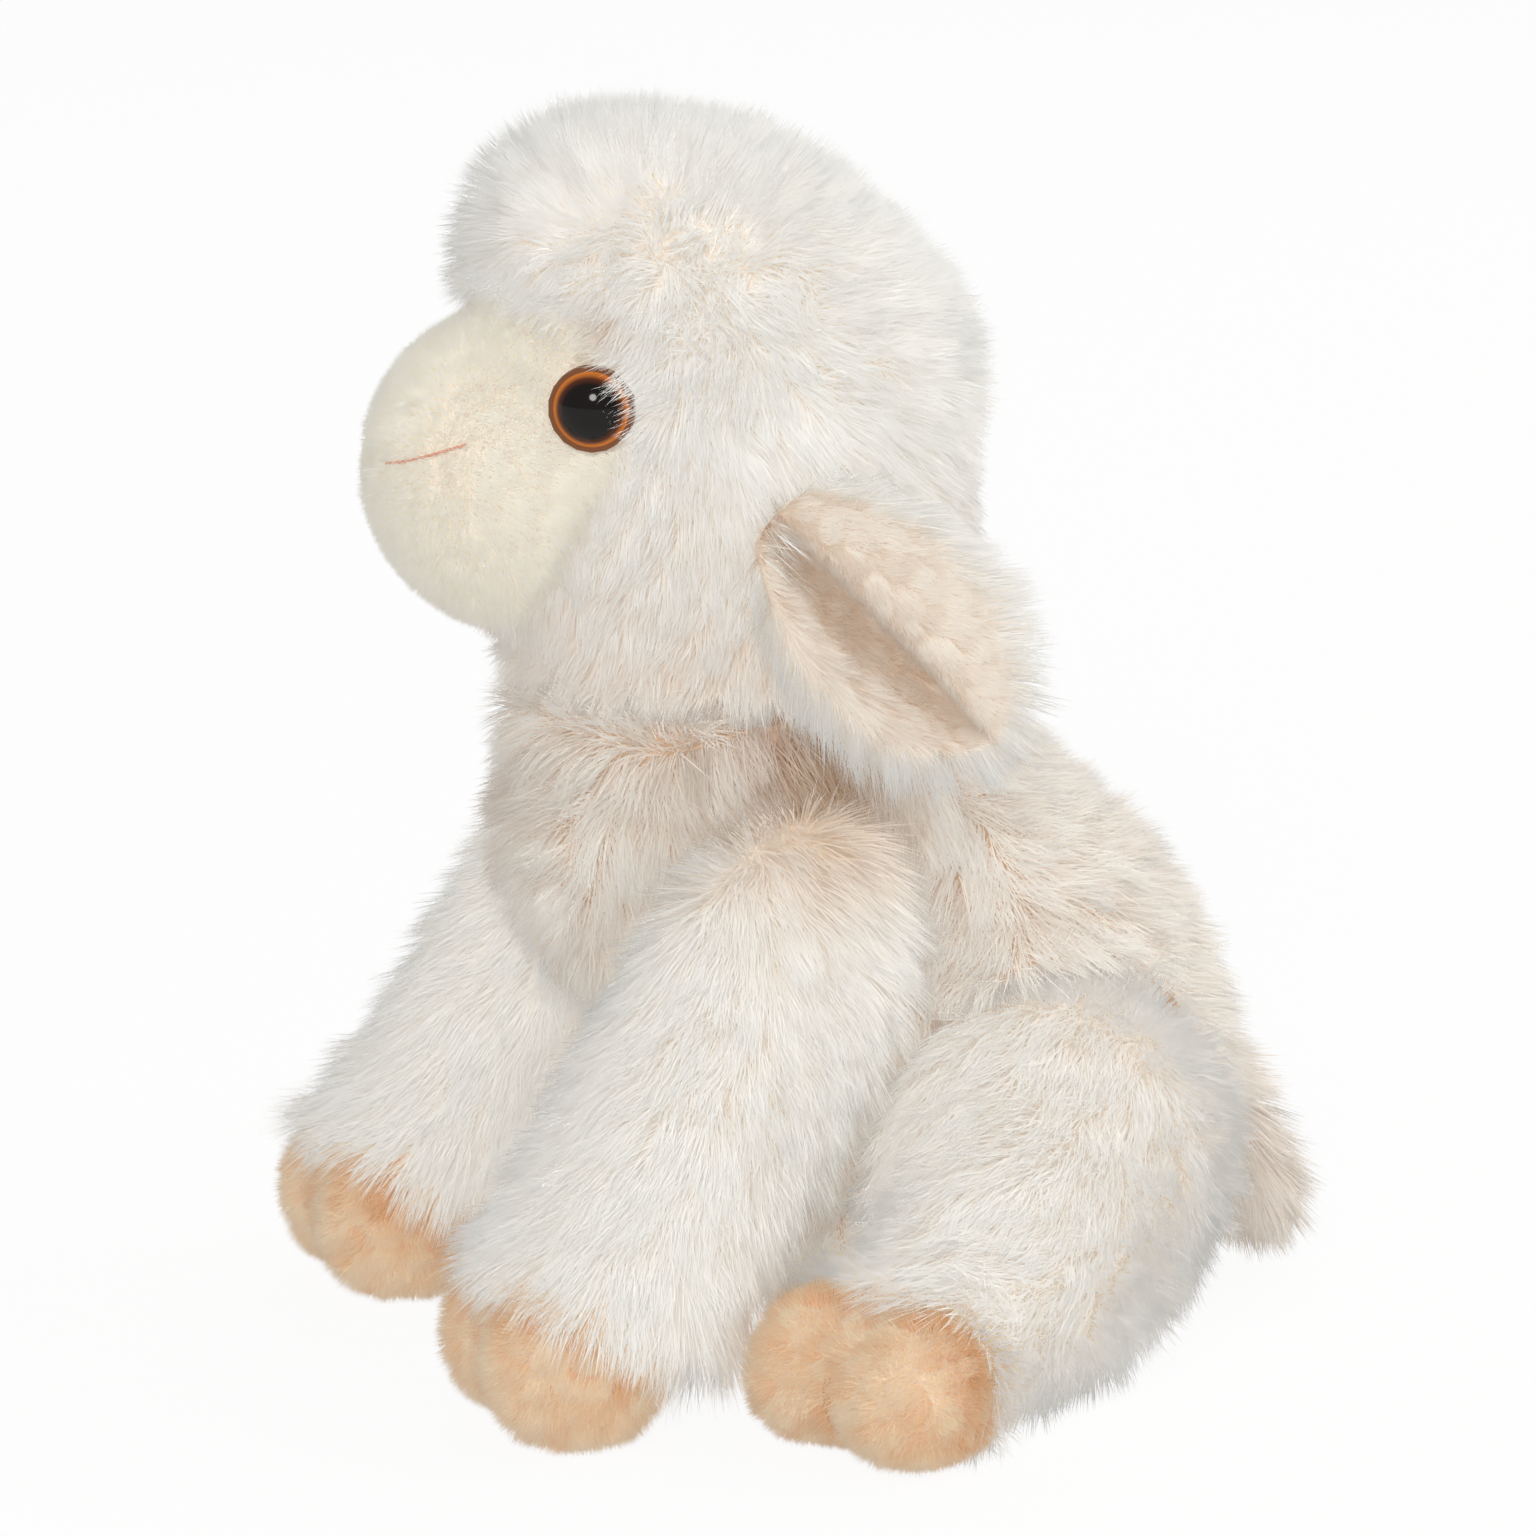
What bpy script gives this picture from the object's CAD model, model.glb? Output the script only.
"""Looks of a sitting plush lamb: woolly pile on backing cloth, lined ears, tan hooves, safety eyes.

Lengths in the classes are millimetres in the frame's own axes: +Z is up, the lamb faces -X and
its left side is at -Y. Meshes are made in metres.
"""

import logging
import math
from dataclasses import dataclass
from enum import Enum
from functools import cache
from typing import Any, Callable

import bmesh
import bpy
import numpy as np
from bpy.types import Material, Mesh, Node, NodeSocket, NodeTree, Object, World
from mathutils import Matrix, Vector
from mathutils.bvhtree import BVHTree
from numpy.linalg import norm


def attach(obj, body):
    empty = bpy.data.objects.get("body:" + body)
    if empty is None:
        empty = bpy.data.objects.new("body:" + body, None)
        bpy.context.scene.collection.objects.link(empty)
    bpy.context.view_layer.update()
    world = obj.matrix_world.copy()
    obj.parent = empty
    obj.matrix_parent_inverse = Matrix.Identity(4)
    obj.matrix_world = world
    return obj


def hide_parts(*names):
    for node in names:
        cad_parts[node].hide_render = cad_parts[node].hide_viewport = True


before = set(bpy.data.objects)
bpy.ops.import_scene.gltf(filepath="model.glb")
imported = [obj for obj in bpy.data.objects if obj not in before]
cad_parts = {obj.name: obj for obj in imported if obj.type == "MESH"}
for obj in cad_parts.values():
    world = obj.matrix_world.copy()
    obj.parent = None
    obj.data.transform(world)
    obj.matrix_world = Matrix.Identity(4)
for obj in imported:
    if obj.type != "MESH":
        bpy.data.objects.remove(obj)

Array = np.ndarray
Colour = tuple[int, int, int]
Faces = list[tuple[int, ...]]
Place = tuple[float, float, float]

MM = 0.001  # metres
BAKE_MAP = "OFBake"  # the map that the finishes of pile read
EYE_CENTRE = (-81, 28.5, 175.5)
EYE_RADIUS = 7.5
EAR_END = (-43, 42, 106)
EAR_SHADE = 15  # how far the deep dye under an ear's end reaches
FLOOR = (-9, -9, 0.0)  # no strand goes below its Z
GREY = (0.5, 0.5, 0.5)  # the middle of a noise's colour
WHITE = (1, 1, 1, 1)
ASLANT = (0.31, 0.17, 0.93)  # a way that follows no edge of the forms
CLEAR = 1e-3  # a step past a face that was met, in millimetres
logging.basicConfig(level=logging.INFO, format="%(message)s")
log = logging.getLogger("lamb")


class Side(Enum):
    """The lamb's two sides, with the sign of Y on each."""

    LEFT = -1
    RIGHT = 1

    @property
    def title(self) -> str:
        """The side's name as the pieces spell it."""
        return self.name.lower()

    def half(self, y: Array) -> Array:
        """One on this side of the middle seam."""
        return smooth(self.value * y, -0.9, 0.9)


# --- Node trees ---


class Sum:
    """A node socket that takes part in Python sums."""

    def __init__(self, bench: "Bench", socket: NodeSocket) -> None:
        """Wraps one output socket of a bench's tree."""
        self.bench = bench
        self.socket = socket

    @property
    def vector(self) -> bool:
        """True if the socket holds a vector."""
        return self.socket.type in ("VECTOR", "RGBA", "ROTATION")

    def _with(self, operation: str, other: Any, swapped: bool = False) -> "Sum":
        """Adds the math node for one operation.

        Args:
            operation: the node's operation.
            other: the second operand, a Sum, number or vector.
            swapped: puts the second operand first.

        Returns:
            The node's result.
        """
        vector = self.vector or (isinstance(other, Sum) and other.vector) or isinstance(other, tuple)
        sides = (other, self) if swapped else (self, other)
        if vector:
            sides = tuple(self._spread(side) for side in sides)
        kind = "ShaderNodeVectorMath" if vector else "ShaderNodeMath"
        node = self.bench.node(kind, dict(enumerate(sides)), operation=operation)
        return Sum(self.bench, node.outputs[0])

    @staticmethod
    def _spread(value: Any) -> Any:
        """A number as a vector of three alike, and anything else as it is."""
        return (value, value, value) if isinstance(value, (int, float)) else value

    def __add__(self, other: Any) -> "Sum":
        """This plus other."""
        return self._with("ADD", other)

    def __sub__(self, other: Any) -> "Sum":
        """This less other."""
        return self._with("SUBTRACT", other)

    def __mul__(self, other: Any) -> "Sum":
        """This times other, part by part."""
        return self._with("MULTIPLY", other)

    def __truediv__(self, other: Any) -> "Sum":
        """This over other."""
        return self._with("DIVIDE", other)

    def __rsub__(self, other: Any) -> "Sum":
        """Other less this."""
        return self._with("SUBTRACT", other, swapped=True)

    __radd__, __rmul__ = __add__, __mul__

    def cross(self, other: Any) -> "Sum":
        """The vector product with other."""
        return self._with("CROSS_PRODUCT", other)

    def dot(self, other: "Sum") -> "Sum":
        """The scalar product with other."""
        return self._of("DOT_PRODUCT", "Value", other)

    def unit(self) -> "Sum":
        """The vector at length one."""
        return self._of("NORMALIZE", "Vector")

    def length(self) -> "Sum":
        """The vector's length."""
        return self._of("LENGTH", "Value")

    def _of(self, operation: str, output: str, *others: "Sum") -> "Sum":
        """One output of a vector operation on this and others."""
        sockets = dict(enumerate((self, *others)))
        return self.bench.take("ShaderNodeVectorMath", output, sockets, operation=operation)

    def part(self, axis: str) -> "Sum":
        """One component, X, Y or Z."""
        return self.bench.take("ShaderNodeSeparateXYZ", axis, {0: self})


class Bench:
    """Puts nodes into one tree."""

    def __init__(self, tree: NodeTree) -> None:
        """Starts on a tree."""
        self.tree = tree

    def node(self, kind: str, sockets: dict[Any, Any] | None = None, **settings: Any) -> Node:
        """Adds a node.

        Args:
            kind: the node's type.
            sockets: values or links by socket name or number.
            settings: its own settings, which are set first.

        Returns:
            The node.
        """
        node = self.tree.nodes.new(kind)
        for name, value in settings.items():
            setattr(node, name, value)
        self.fill(node, sockets or {})
        return node

    def take(self, kind: str, output: str, sockets: dict[Any, Any] | None = None, **settings: Any) -> Sum:
        """Adds a node and takes one of its outputs."""
        return self.output(self.node(kind, sockets, **settings), output)

    def output(self, node: Node, name: str) -> Sum:
        """One output of a node."""
        return Sum(self, self._named(node.outputs, name))

    def fill(self, node: Node, sockets: dict[Any, Any]) -> None:
        """Sets or links a node's inputs.

        Args:
            node: the node.
            sockets: values or links by socket name or number.
        """
        for name, value in sockets.items():
            socket = node.inputs[name] if isinstance(name, int) else self._named(node.inputs, name)
            if isinstance(value, Sum):
                self.tree.links.new(value.socket, socket)
            else:
                socket.default_value = value

    @staticmethod
    def _named(sockets: Any, name: str) -> NodeSocket:
        """The socket of a name that is in use."""
        return next(s for s in sockets if s.name == name and s.enabled)

    def ramp(self, factor: Sum, stops: list[tuple[float, Colour]]) -> Sum:
        """Adds a colour ramp.

        Args:
            factor: what the ramp runs over, from 0 to 1.
            stops: each colour's place and the colour.

        Returns:
            The colour at the factor.
        """
        node = self.node("ShaderNodeValToRGB", {"Fac": factor})
        elements = node.color_ramp.elements
        while len(elements) < len(stops):
            elements.new(0.5)
        for element, (place, colour) in zip(elements, stops):
            element.position, element.color = place, linear(colour)
        return self.output(node, "Color")


# --- Finishes ---


def linear(colour: Colour) -> tuple[float, float, float, float]:
    """A colour in the renderer's own scale.

    Args:
        colour: the colour as it is seen, 0 to 255 a channel.

    Returns:
        The colour, with its cover.
    """
    parts = [c / 255 for c in colour]
    bent = [p / 12.92 if p <= 0.04045 else ((p + 0.055) / 1.055) ** 2.4 for p in parts]
    return (*bent, 1.0)


@dataclass(frozen=True)
class Finish:
    """A finish, by its name and the slot of the pieces that have it."""

    name: str
    slot: str

    def started(self, more: str = "") -> tuple[Material, Bench, Node]:
        """Starts a material.

        Args:
            more: what is added to the name.

        Returns:
            The material, the bench on its tree and its shader.
        """
        material = bpy.data.materials.new(self.name + more)
        material.use_nodes = True
        return material, Bench(material.node_tree), material.node_tree.nodes["Principled BSDF"]


@dataclass(frozen=True)
class PileFinish(Finish):
    """Dyed pile: its colours from root to tip, where the cloth is pale and where it is deep."""

    pale: tuple[Colour, ...]
    deep: tuple[Colour, ...]
    roughness: float = 0.8
    gloss: float = 0.15
    glow: float = 0.3
    through: float = 1.1

    def material(self) -> Material:
        """Builds the material, which reads the strands' own map of reach and tone.

        Returns:
            The material.
        """
        material, bench, shader = self.started()
        place = bench.take("ShaderNodeUVMap", "UV", uv_map=BAKE_MAP)
        reach, tone = place.part("X"), place.part("Y")
        pale, deep = (
            bench.ramp(reach, [(k / (len(colours) - 1), colour) for k, colour in enumerate(colours)])
            for colours in (self.pale, self.deep)
        )
        sockets = {"Factor": tone, "A": pale, "B": deep}
        mixed = bench.take("ShaderNodeMix", "Result", sockets, data_type="RGBA")
        face = bench.node("ShaderNodeNewGeometry")
        behind, outward = bench.output(face, "Backfacing"), bench.output(face, "Normal")
        lit = (1.0 - reach * 0.5) * (1.0 + behind * self.through)
        bench.fill(shader, {
            "Base Color": mixed,
            "Roughness": self.roughness,
            "Specular IOR Level": self.gloss,
            "Normal": outward * (1.0 - behind * 2.0),
            "Emission Color": mixed * lit,
            "Emission Strength": self.glow,
        })
        return material


@dataclass(frozen=True)
class PlainFinish(Finish):
    """One colour with a fine grain: the knit of a cloth, the twist of a thread or a moulded skin."""

    colour: Colour
    roughness: float = 0.8
    specular: float = 0.3
    glow: float = 0.0
    grain: float = 1.2
    relief: float = 0.08
    shade: float = 0.93

    def material(self) -> Material:
        """Builds the material, with a grain and a relief measured in millimetres.

        Returns:
            The material.
        """
        material, bench, shader = self.started()
        place = bench.take("ShaderNodeTexCoord", "Object")
        sockets = {"Vector": place, "Scale": 1 / (self.grain * MM), "Detail": 2.0}
        noise = Sum(bench, bench.node("ShaderNodeTexNoise", sockets, noise_dimensions="3D").outputs[0])
        dark = tuple(round(part * self.shade) for part in self.colour)
        bench.fill(shader, {
            "Base Color": bench.ramp(noise, [(0.35, dark), (0.65, self.colour)]),
            "Normal": bench.take("ShaderNodeBump", "Normal", {"Distance": self.relief * MM, "Height": noise}),
            "Roughness": self.roughness,
            "Specular IOR Level": self.specular,
            "Emission Color": linear(self.colour),
            "Emission Strength": self.glow,
        })
        return material


WOOL = PileFinish(
    "wool pile",
    "plush",
    pale=((238, 234, 227), (242, 239, 233), (244, 243, 239), (246, 246, 243)),
    deep=((216, 192, 168), (224, 205, 186), (233, 219, 205), (241, 233, 223)),
)
FLEECE = PileFinish(
    "body fleece",
    "body_plush",
    pale=((234, 223, 210), (239, 231, 221), (242, 237, 229), (244, 240, 234)),
    deep=((138, 96, 66), (156, 118, 90), (176, 146, 118), (194, 168, 142)),
)
FACE = PileFinish(
    "face pile",
    "face_plush",
    pale=((240, 234, 218), (243, 238, 224), (246, 242, 230), (248, 246, 236)),
    deep=((234, 218, 194), (238, 226, 205), (242, 233, 215), (245, 239, 223)),
    roughness=0.42,
    gloss=0.4,
)
HOOF = PileFinish(
    "hoof pile",
    "hoof_plush",
    pale=((234, 203, 166), (240, 213, 180), (244, 221, 192), (247, 229, 205)),
    deep=((206, 146, 98), (220, 166, 118), (231, 186, 142), (237, 202, 165)),
    roughness=0.42,
    gloss=0.4,
)
LINING = PileFinish(
    "ear lining pile",
    "lining_cloth",
    pale=((226, 214, 199), (234, 224, 211), (240, 232, 221), (242, 236, 227)),
    deep=((186, 156, 130), (204, 180, 158), (218, 199, 181), (226, 211, 195)),
)
WOOL_BACKING = PlainFinish("wool backing cloth", "plush", (238, 226, 212), glow=0.1)
FLEECE_BACKING = PlainFinish("fleece backing cloth", "body_plush", (216, 186, 160), glow=0.1)
LINING_BACKING = PlainFinish("ear lining cloth", "lining_cloth", (230, 208, 186), glow=0.1)
STUFFING = PlainFinish("polyester stuffing", "stuffing", (248, 248, 246), 1.0, 0.1, grain=4.0, relief=0.6)
POUCH = PlainFinish("pouch cloth", "pouch_cloth", (232, 229, 222), 0.9, grain=0.6)
MOUTH_THREAD = PlainFinish("mouth thread", "mouth_thread", (230, 168, 146), 0.6, grain=0.3, relief=0.05)
HOOF_THREAD = PlainFinish("hoof thread", "hoof_thread", (218, 176, 136), 0.6, grain=0.3, relief=0.05)
IRIS = PlainFinish("amber plastic", "eye_back", (120, 70, 32), 0.3, 0.4, relief=0.01, shade=0.97)
WASHER = PlainFinish("white washer plastic", "washer", (240, 240, 236), 0.4, relief=0.01, shade=0.98)


@dataclass(frozen=True)
class EyeFinish(Finish):
    """The clear dome over an amber ring and a dark pupil, painted in rings about the eye's axis."""

    name: str = "eye dome"
    slot: str = "eye_dome"
    pupil: Colour = (14, 8, 6)
    inner: Colour = (84, 40, 14)
    amber: Colour = (212, 122, 46)
    rim: Colour = (96, 52, 24)
    roughness: float = 0.08
    specular: float = 0.26

    def material(self, centre: Vector, axis: Vector, side: Side) -> Material:
        """Builds the material for one eye.

        Args:
            centre: the eye's centre, in metres.
            axis: the way that it looks.
            side: the lamb's side.

        Returns:
            The material.
        """
        material, bench, shader = self.started(f" {side.title}")
        place = bench.take("ShaderNodeTexCoord", "Object")
        away = (place - tuple(centre)).cross(tuple(axis)).length() * (1 / MM)
        rings = [
            (0.0, self.pupil), (0.62, self.pupil), (0.74, self.inner),
            (0.84, self.amber), (0.95, self.amber), (1.0, self.rim),
        ]
        bench.fill(shader, {
            "Base Color": bench.ramp(away / EYE_RADIUS, rings),
            "Roughness": self.roughness,
            "Specular IOR Level": self.specular,
        })
        return material


@cache
def material_of(finish: PileFinish | PlainFinish) -> Material:
    """The one material of a finish."""
    return finish.material()


# --- Meshes ---


def placed(name: str, mesh: Mesh) -> Object:
    """Puts an object at the origin of the scene.

    Args:
        name: the object's name.
        mesh: its mesh, camera or lamp.

    Returns:
        The object.
    """
    made = bpy.data.objects.new(name, mesh)
    bpy.context.scene.collection.objects.link(made)
    return made


def mesh_of(name: str, points: Any, faces: Faces, edges: Faces | tuple[()] = ()) -> Mesh:
    """Makes a mesh.

    Args:
        name: the mesh's name.
        points: its points, in metres.
        faces: its faces.
        edges: its loose edges.

    Returns:
        The mesh.
    """
    mesh = bpy.data.meshes.new(name)
    mesh.from_pydata([tuple(p) for p in points], edges, faces)
    mesh.update()
    return mesh


def vectors(data: Any, key: str) -> Array:
    """The three numbers that each item of a mesh's data holds.

    Args:
        data: the mesh's data.
        key: what is read.

    Returns:
        One row for each item.
    """
    found = np.zeros(len(data) * 3, np.float32)
    data.foreach_get(key, found)
    return found.reshape(-1, 3).astype(float)


def points_of(mesh: Mesh) -> Array:
    """The mesh's points, in millimetres."""
    return vectors(mesh.vertices, "co") / MM


def normals_of(mesh: Mesh) -> Array:
    """The mesh's normals at its points."""
    return vectors(mesh.vertex_normals, "vector")


def edges_of(mesh: Mesh) -> Array:
    """The first points of the mesh's edges, and the second ones.

    Args:
        mesh: the mesh.

    Returns:
        Two rows of point numbers.
    """
    edges = np.zeros(len(mesh.edges) * 2, np.int32)
    mesh.edges.foreach_get("vertices", edges)
    return edges.reshape(-1, 2).T


def tree_of(mesh: Mesh) -> BVHTree:
    """The mesh's faces, sorted for nearest places, in millimetres."""
    faces = [tuple(f.vertices) for f in mesh.polygons]
    return BVHTree.FromPolygons([tuple(p) for p in points_of(mesh)], faces)


def between(rows: int, count: int) -> Faces:
    """The faces between rings of points, one row after the other."""
    pairs = [(r * count, k, (k + 1) % count) for r in range(rows - 1) for k in range(count)]
    return [(start + k, start + n, start + count + n, start + count + k) for start, k, n in pairs]


def rounded(mesh: Mesh) -> Mesh:
    """Shades a mesh smooth.

    Args:
        mesh: the mesh.

    Returns:
        The same mesh.
    """
    for polygon in mesh.polygons:
        polygon.use_smooth = True
    return mesh


def move(mesh: Mesh, points: Array) -> None:
    """Puts the mesh's points at places in millimetres."""
    mesh.vertices.foreach_set("co", (points * MM).astype(np.float32).ravel())
    mesh.update()


def relaxed(mesh: Mesh, points: Array, steps: int, free: Array | float = 1.0) -> Array:
    """The points after each is moved toward the mean of its neighbours.

    Args:
        mesh: the mesh that the points belong to.
        points: places in millimetres.
        steps: how many times they move.
        free: each point's share of that, from 0 to 1.

    Returns:
        The new places.
    """
    first, second = edges_of(mesh)
    ends, starts = np.concatenate((first, second)), np.concatenate((second, first))
    count = np.bincount(ends, minlength=len(points))[:, None]
    share = 0.5 * np.reshape(free * np.ones(len(points)), (-1, 1))
    for _ in range(steps):
        total = np.stack([np.bincount(ends, points[starts, c], len(points)) for c in range(3)], 1)
        points = points + share * (total / count - points)
    return points


def evaluated(made: Object) -> Mesh:
    """A plain mesh of an object with its modifiers applied.

    Args:
        made: the object, which is removed.

    Returns:
        The mesh.
    """
    graph = bpy.context.evaluated_depsgraph_get()
    graph.update()
    mesh = bpy.data.meshes.new_from_object(made.evaluated_get(graph))
    bpy.data.objects.remove(made)
    return mesh


def egg(centre: Place, radii: Place) -> Mesh:
    """An egg-shaped mesh.

    Args:
        centre: its middle, in millimetres.
        radii: its half sizes along the axes.

    Returns:
        The mesh.
    """
    shape = bmesh.new()
    bmesh.ops.create_uvsphere(shape, u_segments=32, v_segments=16, radius=1)
    mesh = bpy.data.meshes.new("egg")
    shape.to_mesh(mesh)
    shape.free()
    for step in (Matrix.Diagonal((*radii, 1)), Matrix.Translation(centre), Matrix.Scale(MM, 4)):
        mesh.transform(step)
    return mesh


def fused(names: list[str], voxel: float, more: tuple[Mesh, ...] = ()) -> Mesh:
    """One closed skin round several CAD nodes.

    Args:
        names: the nodes.
        voxel: the size of its faces, in millimetres.
        more: other closed meshes that it goes round.

    Returns:
        The skin's mesh.
    """
    points: list[Array] = []
    faces: Faces = []
    for mesh in [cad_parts[name].data for name in names] + list(more):
        start = sum(len(p) for p in points)
        points.append(points_of(mesh) * MM)
        faces += [tuple(start + v for v in f.vertices) for f in mesh.polygons]
    loose = placed("loose", mesh_of("loose", np.concatenate(points), faces))
    loose.modifiers.new("weld", "WELD").merge_threshold = 0.01 * MM
    remesh = loose.modifiers.new("remesh", "REMESH")
    remesh.mode = "VOXEL"
    remesh.voxel_size = voxel * MM
    return evaluated(loose)


def largest_shell(mesh: Mesh) -> Mesh:
    """The mesh without its smaller loose shells.

    Args:
        mesh: the mesh.

    Returns:
        The largest shell.
    """
    first, second = edges_of(mesh)
    label = np.arange(len(mesh.vertices))
    while True:
        low = label.copy()
        np.minimum.at(low, first, label[second])
        np.minimum.at(low, second, label[first])
        low = low[low]
        if (low == label).all():
            break
        label = low
    keep = label == np.bincount(label).argmax()
    index = np.cumsum(keep) - 1
    faces = [tuple(int(index[v]) for v in f.vertices) for f in mesh.polygons if keep[f.vertices[0]]]
    return mesh_of("skin", points_of(mesh)[keep] * MM, faces)


def distance_to(points: Array, name: str) -> Array:
    """Each point's distance to the nearest face of a CAD node, in millimetres."""
    tree = tree_of(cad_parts[name].data)
    return np.array([tree.find_nearest(Vector(p))[3] for p in points])


def smooth(values: Array, low: float, high: float) -> Array:
    """Zero at low, one at high, and smooth between them."""
    t = np.clip((values - low) / (high - low), 0, 1)
    return t * t * (3 - 2 * t)


def ways(*parts: Any) -> Array:
    """Three numbers or columns as one array of directions."""
    length = max(np.size(p) for p in parts)
    return np.stack([np.broadcast_to(np.asarray(p, float), (length,)) for p in parts], 1)


def flow(normals: Array, way: Array, strength: float | Array) -> Array:
    """Combs the pile one way along a surface.

    Args:
        normals: the surface's outward directions.
        way: the way of the comb at each point.
        strength: how flat the comb lays the pile.

    Returns:
        The comb at each point.
    """
    way = way / np.maximum(norm(way, axis=1, keepdims=True), 1e-6)
    flat = way - normals * (way * normals).sum(1, keepdims=True)
    return flat * np.reshape(strength * np.ones(len(normals)), (-1, 1))


def spot(points: Array, centre: Place, radius: float) -> Array:
    """One at the centre, fading out over the radius."""
    away = norm(points - np.array(centre), axis=1) / radius
    return np.exp(-away * away)


def spots(points: Array, centre: Place, radius: float) -> Array:
    """A spot and its mirror image on the other side."""
    x, y, z = centre
    return spot(points, (x, -y, z), radius) + spot(points, centre, radius)


def under_ear(points: Array) -> Array:
    """One where the pile is dyed deepest, before and under the ears' lower ends."""
    return spots(points, EAR_END, EAR_SHADE)


@dataclass
class Backing:
    """The cloth that a pile grows on, with what the pile does at each of its points."""

    mesh: Mesh
    pile: Array
    comb: Array
    tone: Array
    cover: Array

    @classmethod
    def fresh(cls, mesh: Mesh) -> "Backing":
        """A backing with nothing set on it yet."""
        count = len(mesh.vertices)
        return cls(mesh, np.full(count, 9.0), np.zeros((count, 3)), np.full(count, 0.2), np.ones(count))

    @classmethod
    def about(
        cls,
        names: list[str],
        voxel: float,
        steps: int,
        inset: Callable[[Array], Array],
        drawn: Callable[[Array], Array] | None = None,
        more: tuple[Mesh, ...] = (),
    ) -> "Backing":
        """The backing cloth round several CAD nodes.

        Args:
            names: the nodes.
            voxel: the size of its faces, in millimetres.
            steps: how often it is smoothed.
            inset: how far it lies inside the nodes' own surface at each of its points.
            drawn: where it is drawn smooth across a hollow.
            more: other closed meshes that it goes round.

        Returns:
            The backing, with an even pile on it.
        """
        mesh = largest_shell(fused(names, voxel, more))
        points = relaxed(mesh, points_of(mesh), steps)
        if drawn is not None:
            points = relaxed(mesh, points, 400, drawn(points))
        move(mesh, points)
        points = points - normals_of(mesh) * inset(points)[:, None]
        move(mesh, relaxed(mesh, points, 2))
        return cls.fresh(mesh)

    @property
    def points(self) -> Array:
        """Its points, in millimetres."""
        return points_of(self.mesh)

    @property
    def normals(self) -> Array:
        """Its outward directions."""
        return normals_of(self.mesh)

    def depth_in(self, other: "Backing") -> Array:
        """How far each point is inside another backing.

        Args:
            other: the other backing.

        Returns:
            The depth in millimetres, below zero outside it.
        """
        tree = tree_of(other.mesh)
        points = self.points
        low, high = other.points.min(0), other.points.max(0)
        boxed = ((points > low) & (points < high)).all(1)
        found = np.zeros(len(points))
        for k, point in enumerate(points):
            distance = tree.find_nearest(Vector(point))[3]
            found[k] = distance if boxed[k] and self._within(tree, Vector(point)) else -distance
        return found

    @staticmethod
    def _within(tree: BVHTree, point: Vector) -> bool:
        """Counts the faces that a line from the point meets, to tell if it is inside a closed form.

        Args:
            tree: the form's faces.
            point: the point.

        Returns:
            True if it is inside.
        """
        way = Vector(ASLANT).normalized()
        crossed = 0
        while True:
            place = tree.ray_cast(point, way)[0]
            if place is None:
                return crossed % 2 == 1
            crossed += 1
            point = place + way * CLEAR

    def meets(self, other: "Backing", shade: float = 0.4, reach: float = 7.0, press: float = 0.3) -> None:
        """Leaves the pile off where another backing hides it, and parts it along the join.

        Args:
            other: the other backing.
            shade: how much deeper the tone is at the join.
            reach: how far from the join that goes, in millimetres.
            press: how much shorter the pile stands there.
        """
        depth = self.depth_in(other)
        near = smooth(depth, -reach, 0)
        self.cover *= 1 - smooth(depth, 2.0, 5.0)
        self.tone += shade * near
        self.pile *= 1 - press * near


# --- Pile and stitches ---


class Maker:
    """A tree of nodes that makes a piece's mesh from a host mesh."""

    NAME: str
    SIZES: dict[str, float]
    EXTRAS: dict[str, str] = {"Finish": "Material"}

    def __init__(self) -> None:
        """Builds the tree once, with its inputs."""
        self.tree = bpy.data.node_groups.new(self.NAME, "GeometryNodeTree")
        self.keys: dict[str, str] = {}
        kinds = {"Geometry": "Geometry", **dict.fromkeys(self.SIZES, "Float"), **self.EXTRAS}
        for name, kind in kinds.items():
            self.keys[name] = self._socket(name, kind, "INPUT")
        self._socket("Geometry", "Geometry", "OUTPUT")
        self.bench = Bench(self.tree)
        self.given = self.bench.node("NodeGroupInput")
        self.bench.node("NodeGroupOutput", {"Geometry": self._grow()})

    def _socket(self, name: str, kind: str, way: str) -> str:
        """Gives the tree one input or output, and returns its key."""
        socket = self.tree.interface.new_socket(name, in_out=way, socket_type=f"NodeSocket{kind}")
        return socket.identifier

    def _grow(self) -> Sum:
        """Fills the tree and returns what it makes."""
        raise NotImplementedError

    def _in(self, name: str) -> Sum:
        """One of the tree's inputs."""
        return self.bench.output(self.given, name)

    def _pass(
        self, kind: str, held: Sum, more: dict[str, Any], slot: str = "Geometry", **settings: Any
    ) -> Sum:
        """Passes a geometry through one node.

        Args:
            kind: the node's type, without its first words.
            held: the geometry.
            more: the node's other inputs.
            slot: what the node calls the geometry.
            settings: the node's own settings.

        Returns:
            The geometry after it.
        """
        return self.bench.take(f"GeometryNode{kind}", slot, {slot: held, **more}, **settings)

    def _mixed(self, **parts: Any) -> Sum:
        """A vector of the parts X, Y and Z."""
        return self.bench.take("ShaderNodeCombineXYZ", "Vector", parts)

    def made(self, mesh: Mesh, values: dict[str, Any]) -> Mesh:
        """The mesh that the tree makes.

        Args:
            mesh: the host mesh.
            values: the tree's inputs, where they aren't the usual ones.

        Returns:
            The new mesh.
        """
        host = placed("host", mesh)
        modifier = host.modifiers.new(self.NAME, "NODES")
        modifier.node_group = self.tree
        for name, value in {**self.SIZES, **values}.items():
            modifier[self.keys[name]] = value
        return evaluated(host)


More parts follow.
